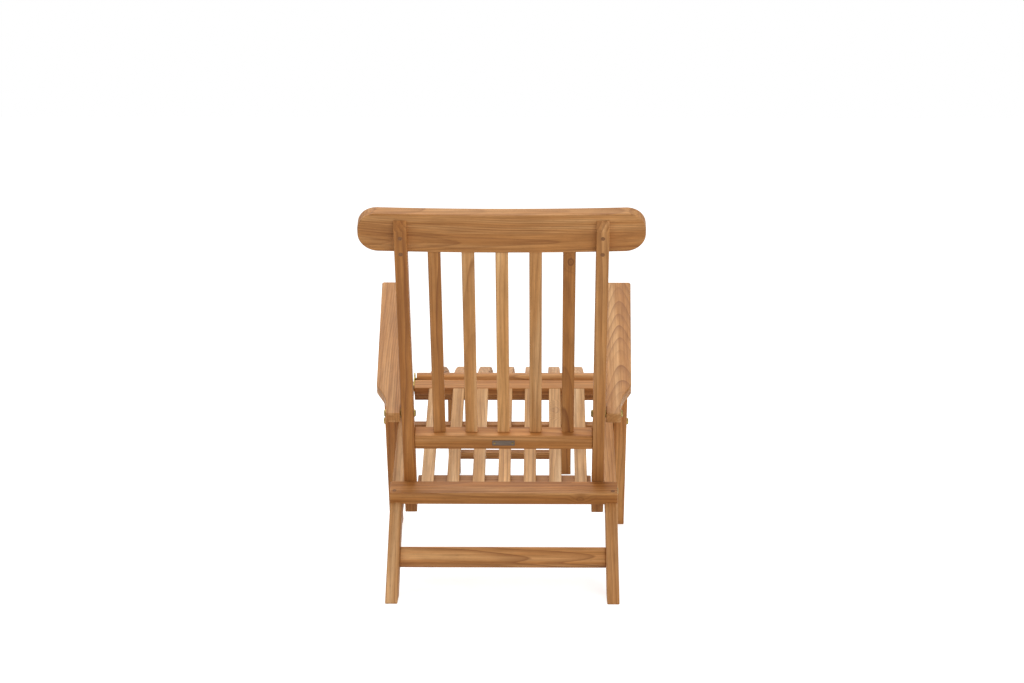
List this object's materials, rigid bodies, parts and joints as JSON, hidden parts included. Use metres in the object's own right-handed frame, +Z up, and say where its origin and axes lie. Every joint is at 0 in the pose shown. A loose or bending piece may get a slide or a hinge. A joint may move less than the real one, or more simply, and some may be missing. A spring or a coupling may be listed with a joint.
{
  "type": "folding sun lounger",
  "caption": "Folding slatted teak steamer lounger with a leaning back, flat arms on notched cleats, brass pivots and a curved footrest on folding legs.",
  "frame": {"origin": "on the floor under the middle of the unfolded chair's bounding box", "axes": "+Z up, +Y the way the sitter faces, +X to the sitter's right"},
  "size_m": [0.627, 1.498, 0.905],
  "materials": {
    "teak": "oiled, eased edges",
    "brass": "satin, slightly dulled",
    "plate_metal": "brushed"
  },
  "bodies": {
    "seat_frame": {"back_pivot_bolts": "brass", "footrest_brackets": "brass", "footrest_pins": "brass", "knee_board": "teak", "leg_pivot_bolts": "brass", "rear_rail": "teak", "rear_stretcher": "teak", "seat_cross_rail_front": "teak", "seat_cross_rail_middle": "teak", "seat_cross_rail_rear": "teak", "seat_pivot_washers": "brass", "seat_slat_1": "teak", "seat_slat_2": "teak", "seat_slat_3": "teak", "seat_slat_4": "teak", "seat_slat_5": "teak", "seat_slat_6": "teak", "seat_slat_7": "teak", "side_rail_left": "teak", "side_rail_right": "teak"},
    "back": {"arm_pivot_bolts": "brass", "arm_pivot_washers": "brass", "back_post_left": "teak", "back_post_right": "teak", "back_slat_1": "teak", "back_slat_2": "teak", "back_slat_3": "teak", "back_slat_4": "teak", "back_slat_5": "teak", "crest_board": "teak", "label_plate": "plate_metal", "label_plate_screws": "plate_metal", "lower_back_rail": "teak"},
    "arm_left": {"arm_cleat_left": "teak", "arm_left": "teak"},
    "arm_right": {"arm_cleat_right": "teak", "arm_right": "teak"},
    "front_leg_left": {"front_leg_left": "teak", "leg_top_pin_left": "brass"},
    "front_leg_right": {"front_leg_right": "teak", "leg_top_pin_right": "brass"},
    "footrest": {"footrest_bearer_left": "teak", "footrest_bearer_right": "teak", "footrest_cross_rail_far": "teak", "footrest_cross_rail_middle": "teak", "footrest_leg_bolts": "brass", "footrest_rear_rail": "teak", "footrest_slat_1": "teak", "footrest_slat_2": "teak", "footrest_slat_3": "teak", "footrest_slat_4": "teak", "footrest_slat_5": "teak", "footrest_slat_6": "teak", "footrest_slat_7": "teak"},
    "footrest_legs": {"footrest_leg_left": "teak", "footrest_leg_rail": "teak", "footrest_leg_right": "teak"}
  },
  "joints": [
    {"name": "back_fold", "type": "hinge", "parent": "seat_frame", "child": "back", "pos_m": [0, -0.34864, 0.19308], "axis": [1, 0, 0], "range_deg": [-86, 0]},
    {"name": "arm_left_turn", "type": "hinge", "parent": "back", "child": "arm_left", "pos_m": [-0.25, -0.46633, 0.4011], "axis": [1, 0, 0], "range_deg": [0, 86]},
    {"name": "arm_right_turn", "type": "hinge", "parent": "back", "child": "arm_right", "pos_m": [0.25, -0.46633, 0.4011], "axis": [1, 0, 0], "range_deg": [0, 86]},
    {"name": "front_leg_left_turn", "type": "hinge", "parent": "seat_frame", "child": "front_leg_left", "pos_m": [-0.28, -0.02307, 0.29632], "axis": [1, 0, 0], "range_deg": [-86, 0]},
    {"name": "front_leg_right_turn", "type": "hinge", "parent": "seat_frame", "child": "front_leg_right", "pos_m": [0.28, -0.02307, 0.29632], "axis": [1, 0, 0], "range_deg": [-86, 0]},
    {"name": "footrest_fold", "type": "hinge", "parent": "seat_frame", "child": "footrest", "pos_m": [0, 0.15302, 0.36877], "axis": [1, 0, 0], "range_deg": [-45, 0]},
    {"name": "footrest_legs_fold", "type": "hinge", "parent": "footrest", "child": "footrest_legs", "pos_m": [0, 0.67084, 0.27014], "axis": [1, 0, 0], "range_deg": [-110, 0]}
  ],
  "couplings": [
    {"joint": "arm_left_turn", "follows": "back_fold", "ratio": -1},
    {"joint": "arm_right_turn", "follows": "back_fold", "ratio": -1},
    {"joint": "front_leg_left_turn", "follows": "back_fold", "ratio": 1},
    {"joint": "front_leg_right_turn", "follows": "back_fold", "ratio": 1}
  ]
}
